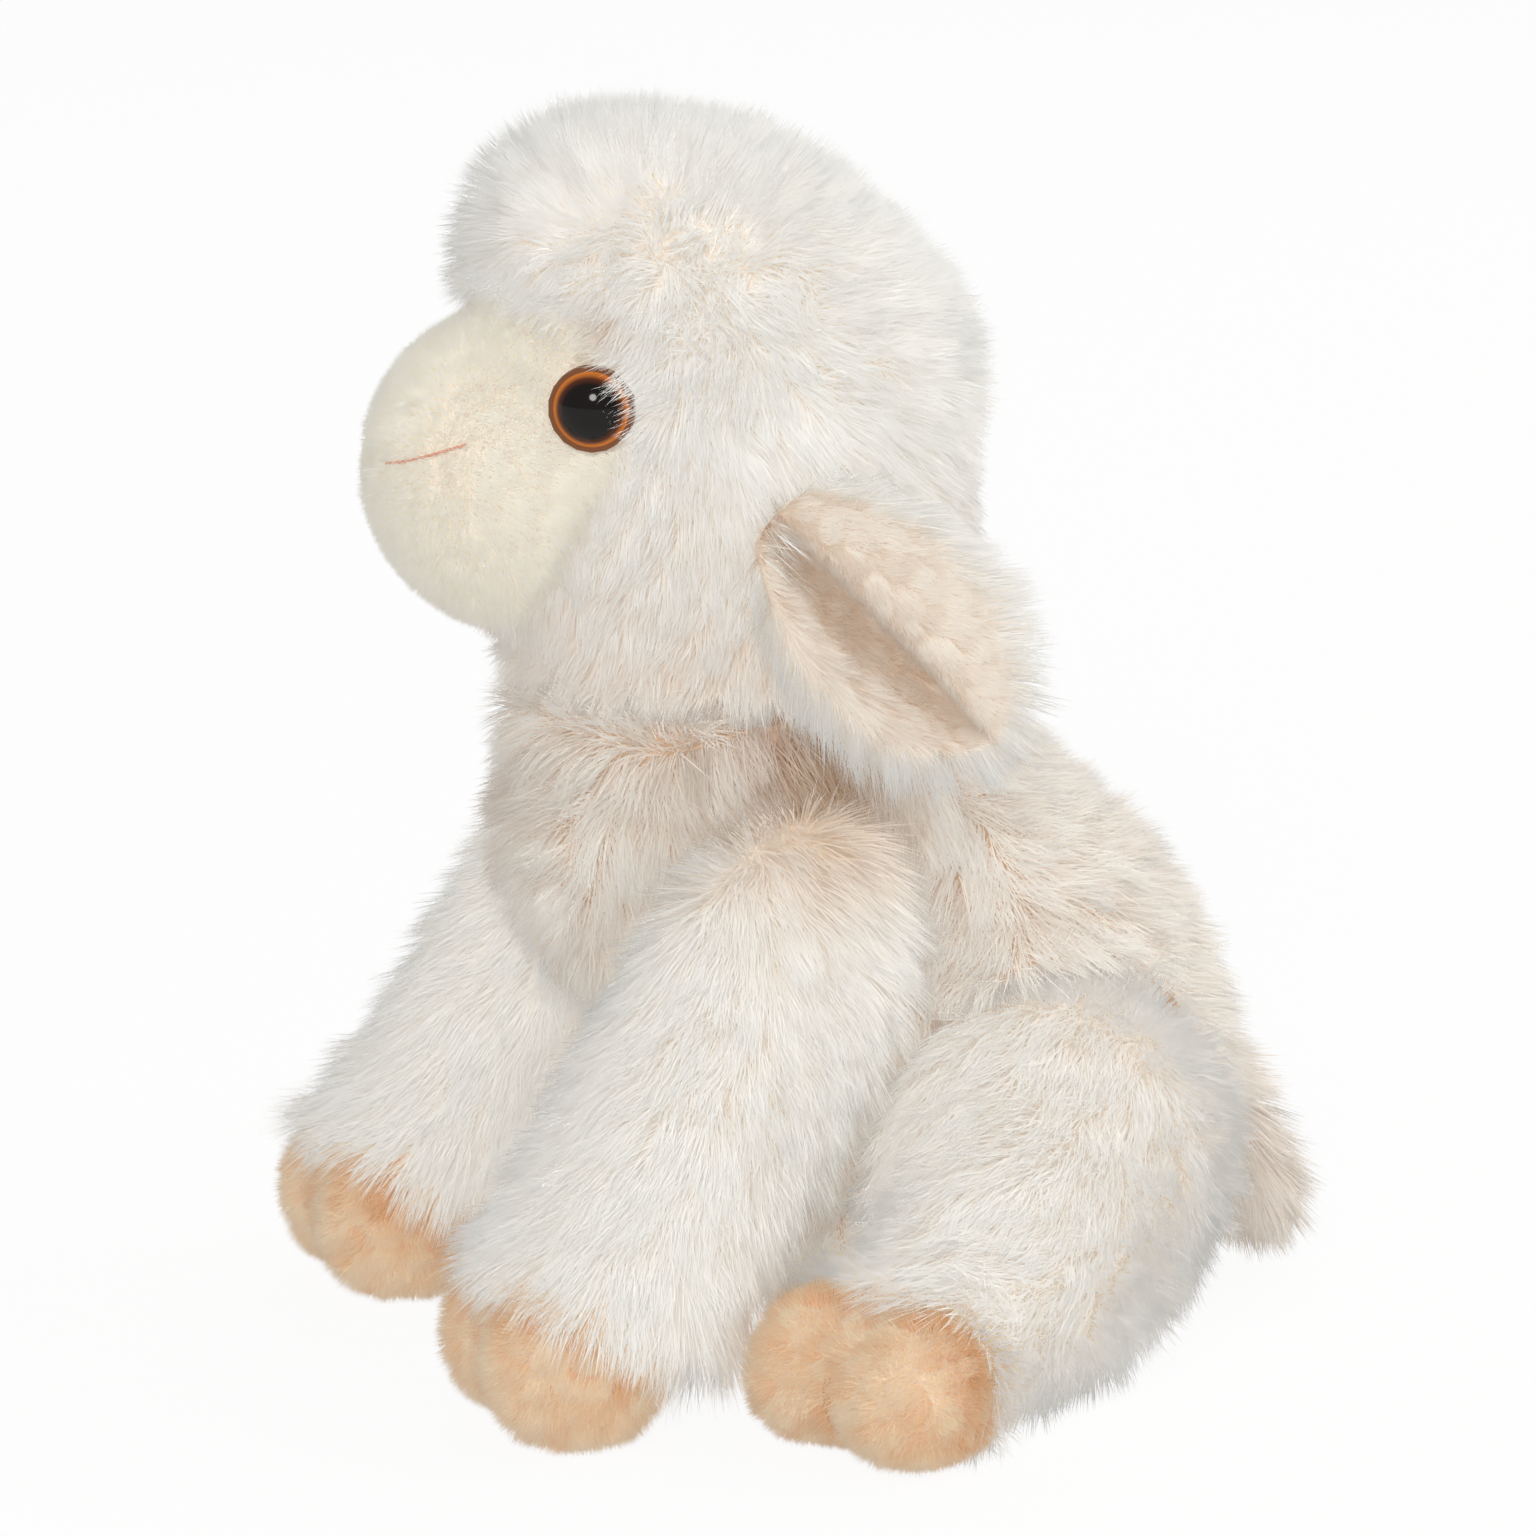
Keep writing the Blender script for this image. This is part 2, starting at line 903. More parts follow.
class Strand(Enum):
    """A strand's corners, as reach from root to tip and as side of its middle line, and its faces."""

    LONG = ([0.0, 0.0, 0.55, 0.55, 1.0], [-1.0, 1.0, 0.75, -0.75, 0.0], [(0, 1, 2, 3), (3, 2, 4)])
    NAP = ([0.0, 0.0, 1.0], [-1.0, 1.0, 0.0], [(0, 1, 2)])


class Pile(Maker):
    """The tree of nodes that grows strands on a backing."""

    NAME = "pile"
    SIZES = {
        "Density": 4.0e6,
        "Width": 0.25 * MM,
        "Rise": 1.0,
        "Jitter": 0.22,
        "Wander": 0.4,
        "Wander Scale": 48.0,
        "Tuft Scale": 260.0,
        "Pull": 0.5,
        "Swirl": 0.35,
        "Bow": 0.25,
        "Mottle": 0.22,
        "Lean": 0.2,
    }
    EXTRAS = {"Seed": "Int", "Blade": "Object", "Finish": "Material"}
    HELD = "root lead bow across shade dye reach side outward comb pile tone cover".split()

    def __init__(self) -> None:
        """Builds the tree and the single strands once."""
        super().__init__()
        self.blades = {strand: self._blade(strand) for strand in Strand}

    def _read(self, name: str, kind: str = "FLOAT_VECTOR") -> Sum:
        """A named attribute."""
        sockets = {"Name": name}
        return self.bench.take("GeometryNodeInputNamedAttribute", "Attribute", sockets, data_type=kind)

    def _keep(
        self, held: Sum, name: str, value: Sum, kind: str = "FLOAT_VECTOR", domain: str = "POINT"
    ) -> Sum:
        """Stores a named attribute on a geometry."""
        more = {"Name": name, "Value": value}
        return self._pass("StoreNamedAttribute", held, more, data_type=kind, domain=domain)

    def _chance(self, low: float, high: float, salt: int) -> Sum:
        """A random number for each strand."""
        sockets = {"Min": low, "Max": high, "Seed": self._in("Seed") + float(salt)}
        return self.bench.take("FunctionNodeRandomValue", "Value", sockets, data_type="FLOAT")

    def _grow(self) -> Sum:
        """Scatters the roots, plans each strand there and turns the plans into strands.

        Returns:
            The strands.
        """
        bench, read = self.bench, self._read
        density = self._in("Density") * read("cover", "FLOAT")
        sockets = {"Mesh": self._in("Geometry"), "Density": density, "Seed": self._in("Seed")}
        kind = "GeometryNodeDistributePointsOnFaces"
        held = bench.take(kind, "Points", sockets, distribute_method="RANDOM")
        root = bench.take("GeometryNodeInputPosition", "Position")
        outward, comb = read("outward").unit(), read("comb")
        sockets = {"Vector": root, "Scale": self._in("Wander Scale"), "Detail": 1.0}
        noise = bench.take("ShaderNodeTexNoise", "Color", sockets, noise_dimensions="3D")
        wander = (noise - GREY) * 2.0 * self._in("Wander")
        seeds = [self._chance(-1.0, 1.0, salt) for salt in (11, 12, 13)]
        jitter = self._mixed(**dict(zip("XYZ", seeds))) * self._in("Jitter")
        sockets = {"Vector": root, "Scale": self._in("Tuft Scale")}
        tufts = bench.node("ShaderNodeTexVoronoi", sockets, voronoi_dimensions="3D", feature="F1")
        dye = bench.output(tufts, "Color")
        toward = bench.output(tufts, "Position") - root
        toward = toward - outward * toward.dot(outward)
        swirl = (dye - GREY) * 2.0 * self._in("Swirl")
        way = (outward * self._in("Rise") + comb + wander + swirl + jitter).unit()
        size = read("pile", "FLOAT") * (dye.part("X") * 0.25 + 0.86) * self._chance(0.8, 1.1, 14)
        across = way.cross(outward).unit()
        turn = self._chance(-0.9, 0.9, 15)
        thick = self._chance(0.35, 0.65, 16)
        mottle = (dye.part("Y") - 0.5) * self._in("Mottle")
        tone = read("tone", "FLOAT") + self._chance(-0.1, 0.1, 17) + mottle
        plan = {
            "root": root,
            "lead": way * size,
            "bow": toward * self._in("Pull") + comb * size * self._in("Bow"),
            "across": (across + way.cross(across) * turn).unit() * self._in("Width") * thick,
            "shade": (outward + way * self._in("Lean") - toward * 50.0 + swirl * 0.2 + jitter * 0.25).unit(),
        }
        for name, value in plan.items():
            held = self._keep(held, name, value)
        return self._strands(self._keep(held, "dye", tone, "FLOAT"))

    def _strands(self, held: Sum) -> Sum:
        """Puts a strand on each root, shapes it by its plan, and lays the strands' map.

        Args:
            held: the roots with their plans.

        Returns:
            The strands.
        """
        bench, read = self.bench, self._read
        blade = bench.take("GeometryNodeObjectInfo", "Geometry", {"Object": self._in("Blade")})
        held = bench.take("GeometryNodeInstanceOnPoints", "Instances", {"Points": held, "Instance": blade})
        held = self._pass("RealizeInstances", held, {})
        reach, side = read("reach", "FLOAT"), read("side", "FLOAT")
        place = read("root") + read("lead") * reach + read("bow") * reach * reach + read("across") * side
        place = bench.take("ShaderNodeVectorMath", "Vector", {0: place, 1: FLOOR}, operation="MAXIMUM")
        held = self._pass("SetPosition", held, {"Position": place})
        sockets = {"Value": read("dye", "FLOAT"), "Min": 0.02, "Max": 0.98}
        level = bench.take("ShaderNodeClamp", "Result", sockets)
        on_map = self._mixed(X=reach * 0.96 + 0.02, Y=level + side * 0.012)
        held = self._keep(held, BAKE_MAP, on_map, "FLOAT2", "CORNER")
        normal = {"Custom Normal": read("shade")}
        held = self._pass("SetMeshNormal", held, normal, "Mesh", mode="FREE", domain="POINT")
        for name in self.HELD:
            held = self._pass("RemoveAttribute", held, {"Name": name})
        return self._pass("SetMaterial", held, {"Material": self._in("Finish")})

    @staticmethod
    def _blade(strand: Strand) -> Object:
        """One strand, flat and pointed, with each corner's reach and side.

        Args:
            strand: its form.

        Returns:
            The strand, which isn't rendered.
        """
        reach, side, faces = strand.value
        mesh = rounded(mesh_of("blade", np.zeros((len(reach), 3)), faces))
        for title, values in (("reach", reach), ("side", side)):
            mesh.attributes.new(title, "FLOAT", "POINT").data.foreach_set("value", values)
        made = placed("blade", mesh)
        made.hide_render = True
        return made

    def clear(self) -> None:
        """Removes the single strands that the piles were made from."""
        for made in self.blades.values():
            bpy.data.objects.remove(made)

    def grown(
        self,
        part: "Plush",
        name: str,
        finish: PileFinish,
        seed: int,
        mask: Array | float = 1.0,
        strand: Strand = Strand.LONG,
        nodes: tuple[str, ...] = (),
        **sizes: float,
    ) -> None:
        """Grows one piece on a part's backing and holds it.

        Args:
            part: the part that it grows on.
            name: the piece.
            finish: its finish.
            seed: its fixed seed.
            mask: its share of the backing's cover.
            strand: the form of its strands.
            nodes: the CAD nodes that it stands for.
            sizes: the tree's inputs that differ from the usual ones.
        """
        backing = part.backing
        mesh = backing.mesh.copy()
        for title, kind, key, values in (
            ("outward", "FLOAT_VECTOR", "vector", backing.normals),
            ("comb", "FLOAT_VECTOR", "vector", backing.comb),
            ("pile", "FLOAT", "value", backing.pile * MM),
            ("tone", "FLOAT", "value", backing.tone),
            ("cover", "FLOAT", "value", backing.cover * mask),
        ):
            flat = values.astype(np.float32).ravel()
            mesh.attributes.new(title, kind, "POINT").data.foreach_set(key, flat)
        chosen = {title.replace("_", " "): value for title, value in sizes.items()}
        extras = {"Seed": seed, "Blade": self.blades[strand], "Finish": material_of(finish)}
        strands = self.made(mesh, {**chosen, **extras})
        strands.name = name
        log.info("%s: %d strands", name, len(strands.vertices) // len(strand.value[0]))
        hold(placed(name, strands), finish, part.body, nodes)


class Stitches(Maker):
    """The tree of nodes that sews a row of stitches along a line."""

    NAME = "stitches"
    SIZES = {"Spacing": 1.5 * MM, "Length": 1.9 * MM, "Thickness": 0.5 * MM, "Slant": 0.25}

    def _grow(self) -> Sum:
        """Strings stretched beads along the line, each a little aslant.

        Returns:
            The row.
        """
        bench = self.bench
        line = bench.take("GeometryNodeMeshToCurve", "Curve", {"Mesh": self._in("Geometry")})
        sockets = {"Curve": line, "Length": self._in("Spacing")}
        places = bench.node("GeometryNodeCurveToPoints", sockets, mode="LENGTH")
        along = {"Vector": bench.output(places, "Tangent")}
        turn = bench.take("FunctionNodeAlignRotationToVector", "Rotation", along, axis="X")
        bead = bench.take("GeometryNodeMeshUVSphere", "Mesh", {"Segments": 8, "Rings": 6, "Radius": 0.5})
        thick = self._in("Thickness")
        scale = self._mixed(X=self._in("Length"), Y=thick, Z=thick)
        roots = bench.output(places, "Points")
        sockets = {"Points": roots, "Instance": bead, "Rotation": turn, "Scale": scale}
        row = bench.take("GeometryNodeInstanceOnPoints", "Instances", sockets)
        row = self._pass("RotateInstances", row, {"Rotation": self._mixed(Y=self._in("Slant"))}, "Instances")
        row = self._pass("SetShadeSmooth", self._pass("RealizeInstances", row, {}), {})
        return self._pass("SetMaterial", row, {"Material": self._in("Finish")})

    def sewn(self, name: str, line: Array, finish: PlainFinish) -> Object:
        """Sews one row.

        Args:
            name: the piece.
            line: points along the row, in millimetres.
            finish: the thread's finish.

        Returns:
            The piece, a plain mesh.
        """
        mesh = mesh_of("line", line * MM, [], [(k, k + 1) for k in range(len(line) - 1)])
        return placed(name, self.made(mesh, {"Finish": material_of(finish)}))


def hold(
    made: Object,
    finish: Finish,
    body: str,
    nodes: tuple[str, ...] = (),
    fill: float | None = None,
) -> None:
    """Gives a piece its finish and its place in the frame, and reports it.

    Args:
        made: the piece.
        finish: its finish, which is put on it if it has none yet.
        body: the body that it moves with.
        nodes: the CAD nodes that it stands for.
        fill: how full it is, if it is stuffed.
    """
    if not made.data.materials:
        made.data.materials.append(material_of(finish))
    if nodes:
        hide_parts(*nodes)
    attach(made, body)
    log.info("%s: %s on the %s", made.name, finish.name, body.replace("_", " "))


class Plush:
    """A stuffed part of the lamb: its backing cloth and the pile on it."""

    name: str
    body: str
    backing: Backing

    def lay(self) -> None:
        """Makes the backing and combs the pile."""
        raise NotImplementedError

    def grow(self, pile: Pile) -> None:
        """Grows the pile."""
        raise NotImplementedError

    def skin(self, finish: PlainFinish, *nodes: str, fill: float = 0.8) -> None:
        """Places the backing itself."""
        hold(placed(f"{self.name}_backing", rounded(self.backing.mesh)), finish, self.body, nodes, fill)


# --- The lamb's parts ---


@dataclass
class Torso(Plush):
    """The pear-shaped body on its round seat."""

    name: str = "torso"
    body: str = "torso"
    seed: int = 20
    voxel: float = 1.9
    depth: float = 3.0
    pile: float = 9.5
    base_tone: float = 0.04
    dye: float = 1.4
    chest_tone: float = 0.12
    shoulder: Place = (-46, 37, 83)
    shoulder_radius: float = 38.0
    neck: Place = (-42, 0, 113)
    neck_radii: Place = (44, 45, 15.4)

    def lay(self) -> None:
        """Makes the backing and combs the pile down and back."""
        names = ["torso_cover_left", "torso_cover_right", "torso_stuffing", "seat_panel"]
        plug = egg(self.neck, self.neck_radii)
        held = self.backing = Backing.about(names, self.voxel, 3, self._inset, self._shoulders, (plug,))
        points, normals = held.points, held.normals
        x, _, z = points.T
        chest = smooth(-x, 55, 80)
        seat = self.seat = smooth(-normals[:, 2], 0.75, 0.95)
        held.comb = flow(normals, ways(0.35 - 0.5 * chest, 0, -1), 0.6) * (1 - seat)[:, None]
        held.pile = self.pile * (1 - 0.78 * seat) * (0.55 + 0.45 * smooth(z, 2, 14))
        held.tone = self.base_tone + self.dye * under_ear(points)
        held.tone += self.chest_tone * chest * smooth(z, 80, 105)

    def _inset(self, points: Array) -> Array:
        """How far the backing lies under the surface, least at the floor."""
        return self.depth * smooth(points[:, 2], 0.5, 9) + 0.8

    def _shoulders(self, points: Array) -> Array:
        """One where the cloth is drawn smooth under the legs' tops.

        Args:
            points: places in millimetres.

        Returns:
            One there, zero elsewhere.
        """
        folded = points * ways(1, np.where(points[:, 1] < 0, -1, 1), 1)
        away = norm(folded - np.array(self.shoulder), axis=1)
        return smooth(-away, -self.shoulder_radius, -self.shoulder_radius + 4)

    def grow(self, pile: Pile) -> None:
        """Grows the fleece of the two sides and the seat's short nap.

        Args:
            pile: the tree that grows it.
        """
        self.skin(FLEECE_BACKING, "torso_cover_left", "torso_cover_right")
        for side in Side:
            half = side.half(self.backing.points[:, 1]) * (1 - self.seat)
            pile.grown(
                self, f"torso_pile_{side.title}", FLEECE, self.seed + side.value, half, Density=3.4e6,
                Rise=0.85, Pull=0.38, Jitter=0.28, Swirl=0.5, Mottle=0.4, Tuft_Scale=230.0,
            )
        pile.grown(self, "seat_nap", FLEECE, self.seed + 5, self.seat, Strand.NAP, ("seat_panel",))


@dataclass
class Head(Plush):
    """The capped head with its short-piled face."""

    name: str = "head"
    body: str = "head"
    seed: int = 30
    voxel: float = 1.7
    cap_depth: float = 3.4
    face_depth: float = 1.2
    cap_pile: float = 9.0
    face_pile: float = 3.0
    cheek_cut: float = 2.2
    root_fall: float = 4
    low_fall: float = 1.5
    wool_tone: float = -0.08
    low_tone: float = 0.34
    face_tone: float = 0.1
    tan: float = 1.2
    crown: Place = (-62, 0, 218)
    ear_root: Place = (-54, 46, 166)
    root_reach: float = 12
    brow_end: Place = (-80, 29, 188)
    tan_reach: float = 6
    eye_axis: Place = (-0.5, -0.866, 0)
    edge_z: tuple[float, ...] = (118, 129, 138, 150, 163, 172, 183, 188, 192.5, 194, 196)
    edge_x: tuple[float, ...] = (-92, -92, -89.7, -86, -79.2, -75.5, -75.5, -81, -89.3, -95, -130)

    def lay(self) -> None:
        """Makes the backing and combs cap, brow, cheeks and face."""
        names = ["head_cover_left", "head_cover_right", "face_cover", "head_stuffing"]
        held = self.backing = Backing.about(names, self.voxel, 3, self._depth)
        points, normals = held.points, held.normals
        x, y, z = points.T
        face = self.face = self._face(points)
        cap = 1 - face
        cheek = smooth(-z, -182, -150)
        root = spots(points, self.ear_root, self.root_reach)
        eye = self._eye_gap(points)
        lash = smooth(-eye, -17, -8) * smooth(x, -80, -76) * smooth(z, 168, 176)
        wool = self._wool(points, normals, cheek) * (1 - lash)[:, None] + ways(-1.1, 0, -0.4) * lash[:, None]
        wool += ways(0.5, 0.3 * np.sign(y), -0.5) * root[:, None]
        muzzle = flow(normals, ways(0.5, 0.2 * np.sign(y), -0.25), 0.35)
        held.comb = wool * cap[:, None] + muzzle * face[:, None]
        length = self.cap_pile - self.cheek_cut * cheek + self.root_fall * root
        held.pile = length * cap + self.face_pile * face
        held.pile *= 0.7 + 0.3 * smooth(eye, 7, 11)
        held.pile += self.low_fall * smooth(-z, -140, -126) * cap
        tone = self.wool_tone + self.low_tone * cheek + self.low_tone * smooth(-z, -152, -122)
        held.tone = tone * cap + self.face_tone * face
        held.tone += self.tan * spots(points, self.brow_end, self.tan_reach)
        held.cover *= smooth(eye, 6.6, 7.6) * (1 - 0.2 * lash)

    def _wool(self, points: Array, normals: Array, cheek: Array) -> Array:
        """The comb of cap and cheeks: away from the crown, and down on the cheeks.

        Args:
            points: the backing's points.
            normals: its outward directions.
            cheek: one on the cheeks.

        Returns:
            The comb at each point.
        """
        x, _, z = points.T
        brow = smooth(-x, 68, 88) * smooth(z, 184, 196) * (1 - self.face)
        off = points - np.array(self.crown)
        far = norm(off, axis=1)
        way = off / np.maximum(far, 1)[:, None] * (1 - cheek)[:, None] + ways(-0.12, 0, -1) * cheek[:, None]
        return flow(normals, way, (0.3 + 0.26 * cheek + 0.35 * brow) * smooth(far, 5, 45))

    def _depth(self, points: Array) -> Array:
        """How far the backing lies under the surface."""
        face = self._face(points)
        return self.cap_depth * (1 - face) + self.face_depth * face

    def _face(self, points: Array) -> Array:
        """One on the short-piled face."""
        edge = np.interp(points[:, 2], self.edge_z, self.edge_x)
        return smooth(edge - points[:, 0], -1.0, 1.0)

    def _eye_gap(self, points: Array) -> Array:
        """How far each point is from the nearer eye's axis, and farther yet behind the eye.

        Args:
            points: places in millimetres.

        Returns:
            The distances.
        """
        x, y, z = points.T
        off = np.stack((x, -np.abs(y), z), 1) - np.array(EYE_CENTRE) * (1, -1, 1)
        axis = np.array(self.eye_axis)
        along = off @ axis
        return norm(off - along[:, None] * axis, axis=1) + np.where(along < -9, 20, 0)

    def grow(self, pile: Pile) -> None:
        """Grows the cap's wool and the face.

        Args:
            pile: the tree that grows it.
        """
        self.skin(WOOL_BACKING, "head_cover_left", "head_cover_right")
        for side in Side:
            half = side.half(self.backing.points[:, 1]) * (1 - self.face)
            pile.grown(
                self, f"cap_pile_{side.title}", WOOL, self.seed + side.value, half, Density=4.3e6,
                Width=0.23 * MM, Rise=0.8, Pull=0.24, Jitter=0.2, Swirl=0.3, Mottle=0.35,
            )
        pile.grown(
            self, "face_pile", FACE, self.seed + 5, self.face, Strand.NAP, ("face_cover",), Density=14e6,
            Width=0.18 * MM, Rise=0.9, Jitter=0.42, Wander=0.2, Pull=0.1, Swirl=0.2,
        )


@dataclass
class FrontLeg(Plush):
    """A straight foreleg with a cloven hoof."""

    side: Side
    kind: str = "front_leg"
    seed: int = 40
    hoof_seed: int = 50
    voxel: float = 1.9
    depth: float = 3.2
    hoof_depth: float = 1.3
    pile: float = 10.0
    hoof_pile: float = 4.0
    hem_fall: float = 3.5
    thread_sunk: float = 0.4
    cleft_width: float = 2.2
    cleft_tone: float = 0.6
    sole_tone: float = 0.1
    hem_tone: float = 0.8
    dye: float = 1.3
    shoulder: Place = (-46, 37, 83)
    hem: Place = (-87, 47, 22)

    def __post_init__(self) -> None:
        """Names the leg and its CAD nodes."""
        self.name = self.body = f"{self.kind}_{self.side.title}"
        self.cover, self.hoof, self.thread, self.filling = (
            f"{self.kind}_{what}_{self.side.title}" for what in ("cover", "hoof", "cleft_stitch", "stuffing")
        )
        self.mirror = np.array((1, self.side.value, 1))
        way = (np.array(self.hem) - np.array(self.shoulder)) * self.mirror
        self.way = way / norm(way)

    def lay(self) -> None:
        """Makes the backing and combs the pile to the hem."""
        names = [self.cover, self.hoof, self.filling]
        held = self.backing = Backing.about(names, self.voxel, 2, self._depth, self._drawn, self._flesh())
        points = held.points
        sole = self.sole = self._sole(points)
        leg = 1 - sole
        above = self._hem_gap(points)
        hem = smooth(-above, -22, 0) * leg
        cleft = np.exp(-((distance_to(points, self.thread) / self.cleft_width) ** 2)) * sole
        dark = smooth(above, -17, -2) * sole
        held.comb = flow(held.normals, self._comb(points, above), 0.8 - 0.45 * sole)
        held.pile = (self.pile + self.hem_fall * hem) * leg + self.hoof_pile * sole
        held.pile *= (0.4 + 0.6 * smooth(points[:, 2], 0.5, 6)) * (1 - 0.3 * cleft)
        held.tone = self._tone(above) * leg + sole * (self.sole_tone + self.hem_tone * dark)
        held.tone += self.cleft_tone * cleft
        held.tone += self.dye * under_ear(points)

    def _hem_gap(self, points: Array) -> Array:
        """How far each point is above the hem, along the leg."""
        return -(points - np.array(self.hem) * self.mirror) @ self.way

    def _flesh(self) -> tuple[Mesh, ...]:
        """What fills the cloth beside the CAD nodes."""
        return ()

    def _drawn(self, points: Array) -> Array:
        """Above zero where the cloth is drawn smooth, at the shoulder."""
        return 0.25 * smooth(self._hem_gap(points), 55, 85)

    def _comb(self, points: Array, above: Array) -> Array:
        """The way that the pile lies: as on the body at the top, and along the leg lower down."""
        high = smooth(above, 45, 85)[:, None]
        return self.way * (1 - high) + ways(0.2, 0, -1) * high

    def _tone(self, above: Array) -> Array:
        """Like the body's at the top, and whiter to the hem."""
        return 0.06 + 0.1 * smooth(above, 20, 80)

    def _sole(self, points: Array) -> Array:
        """One on the hoof."""
        return smooth(distance_to(points, self.cover) - distance_to(points, self.hoof), -0.8, 0.8)

    def _depth(self, points: Array) -> Array:
        """How far the backing lies under the surface."""
        sole = self._sole(points)
        return self.depth * (1 - sole) + self.hoof_depth * sole

    def grow(self, pile: Pile) -> None:
        """Grows the leg's pile and the hoof's.

        Args:
            pile: the tree that grows it.
        """
        side = self.side
        self.skin(WOOL_BACKING, self.cover, self.filling)
        pile.grown(
            self, f"{self.name}_pile", WOOL, self.seed + side.value, 1 - self.sole, Density=3.9e6,
            Width=0.24 * MM, Rise=0.72, Pull=0.28, Jitter=0.24, Swirl=0.34, Mottle=0.26,
        )
        pile.grown(
            self, f"{self.kind}_hoof_pile_{side.title}", HOOF, self.hoof_seed + side.value, self.sole,
            Strand.NAP, (self.hoof,), Density=16e6, Width=0.16 * MM, Rise=0.8, Jitter=0.42, Wander=0.35,
            Pull=0.24, Swirl=0.26, Mottle=0.75,
        )
        self._draw_in()

    def _draw_in(self) -> None:
        """Draws the cleft's thread down to the backing, under the pile."""
        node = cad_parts[self.thread].data
        points, index = np.unique(np.round(points_of(node), 4), axis=0, return_inverse=True)
        faces = [tuple(int(index.ravel()[v]) for v in f.vertices) for f in node.polygons]
        tree = tree_of(self.backing.mesh)
        for k, point in enumerate(points):
            inward = -np.array(tree.find_nearest(Vector(point))[1])
            points[k] = point + inward * (self.hoof_depth + self.thread_sunk)
        made = placed(f"{self.thread}_drawn", mesh_of("thread", points * MM, faces))
        hold(made, HOOF_THREAD, self.body, (self.thread,))


@dataclass
class HindLeg(FrontLeg):
    """A folded hind leg: round thigh, short shin and a cloven hoof."""

    kind: str = "hind_leg"
    pile: float = 9.5
    hem_fall: float = 5.0
    shoulder: Place = (1, 55, 21)
    hem: Place = (-41.5, 75.5, 17)
    fold: Place = (-12, 58, 32)
    fold_radii: Place = (28, 17, 20)
    fold_reach: float = 38.0

    def _flesh(self) -> tuple[Mesh, ...]:
        """Fills the fold between thigh and shin."""
        x, y, z = self.fold
        return (egg((x, y * self.side.value, z), self.fold_radii),)

    def _drawn(self, points: Array) -> Array:
        """Above zero round the fold, off the hoof."""
        away = norm(points * self.mirror - np.array(self.fold) - (0, 6, 6), axis=1)
        return 0.3 * smooth(-away, -self.fold_reach, -self.fold_reach + 12) * (1 - self._sole(points))

    def _comb(self, points: Array, above: Array) -> Array:
        """The way that the pile lies: down over the thigh, then along the shin."""
        low = smooth(-points[:, 2], -62, -14)[:, None]
        return self.way * low + ways(-0.6, 0.4 * self.side.value, -0.65) * (1 - low)

    def _tone(self, above: Array) -> Array:
        """Like the body's over the thigh, and whiter to the hem."""
        return 0.1 + 0.08 * smooth(above, 10, 45)


@dataclass
class Tail(Plush):
    """The short drooping tail."""

    name: str = "tail"
    body: str = "tail"
    seed: int = 60
    voxel: float = 1.3
    depth: float = 2.0
    pile: float = 10.0
    tone: float = 0.25
    way: Place = (0.3, 0, -0.95)

    def lay(self) -> None:
        """Makes the backing and combs the pile to the tip."""
        held = self.backing = Backing.about(["tail_cover", "tail_stuffing"], self.voxel, 2, self._inset)
        held.comb = flow(held.normals, ways(*self.way), 0.75)
        held.pile[:] = self.pile
        held.tone[:] = self.tone

    def _inset(self, points: Array) -> Array:
        """How far the backing lies under the surface."""
        return np.full(len(points), self.depth)

    def grow(self, pile: Pile) -> None:
        """Grows the pile."""
        self.skin(FLEECE_BACKING, "tail_cover")
        pile.grown(self, "tail_pile", FLEECE, self.seed, Density=4.5e6, Rise=0.7, Pull=0.6)


